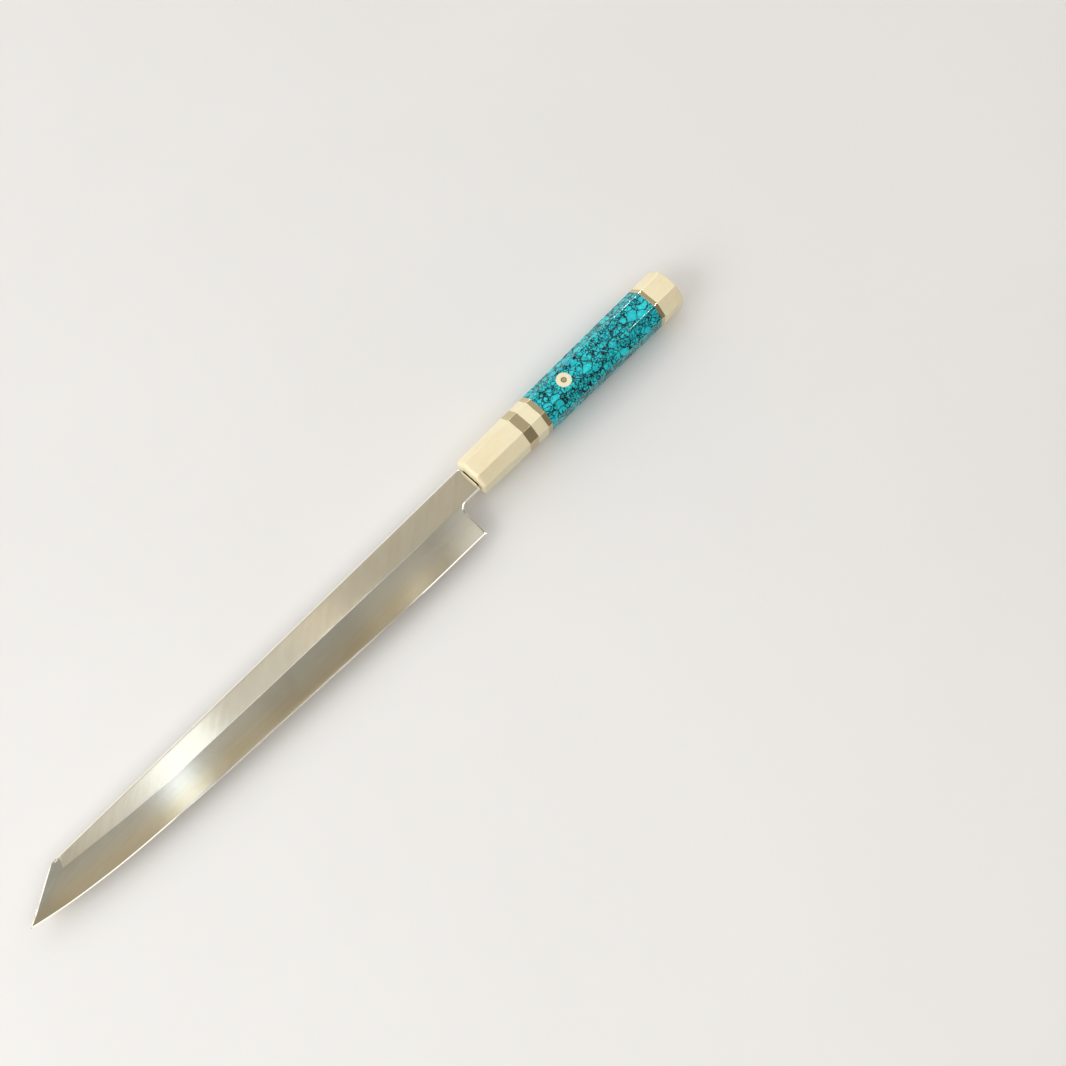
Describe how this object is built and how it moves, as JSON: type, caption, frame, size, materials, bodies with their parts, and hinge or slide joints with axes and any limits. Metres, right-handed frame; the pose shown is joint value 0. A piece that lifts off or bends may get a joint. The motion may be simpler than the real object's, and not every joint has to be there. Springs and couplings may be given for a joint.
{
  "type": "yanagiba knife",
  "caption": "Long left-handed single-bevel slicing knife with a clipped point, hollow-ground back and tapered octagonal handle of ivory, metal and turquoise sections.",
  "frame": {"origin": "middle of the underside of the bounding box, level with the lowest line of the handle's lower flat", "axes": "+X along the handle from the point towards the butt, +Y from the edge towards the spine, +Z out of the bevelled face"},
  "size_m": [0.4745, 0.0396, 0.0225],
  "materials": {
    "blade_iron": "satin, with fine grind lines",
    "edge_steel": "fine satin, polished at the edge",
    "ivory": "polished, faintly mottled",
    "ring_metal": "mirror polished nickel silver",
    "turquoise": "polished, with a dark vein network",
    "core_wood": "turned, unfinished",
    "pin_metal": "dressed flush and polished"
  },
  "bodies": {
    "root": {"blade_body": "blade_iron", "cutting_steel": "edge_steel", "ferrule": "ivory", "front_ring": "ring_metal", "collar": "ivory", "thin_ring": "ring_metal", "handle_body": "turquoise", "rear_ring": "ring_metal", "end_cap": "ivory", "core_dowel": "core_wood", "pin": "pin_metal", "pin_collar_left": "ivory", "pin_collar_right": "ivory"}
  },
  "joints": []
}
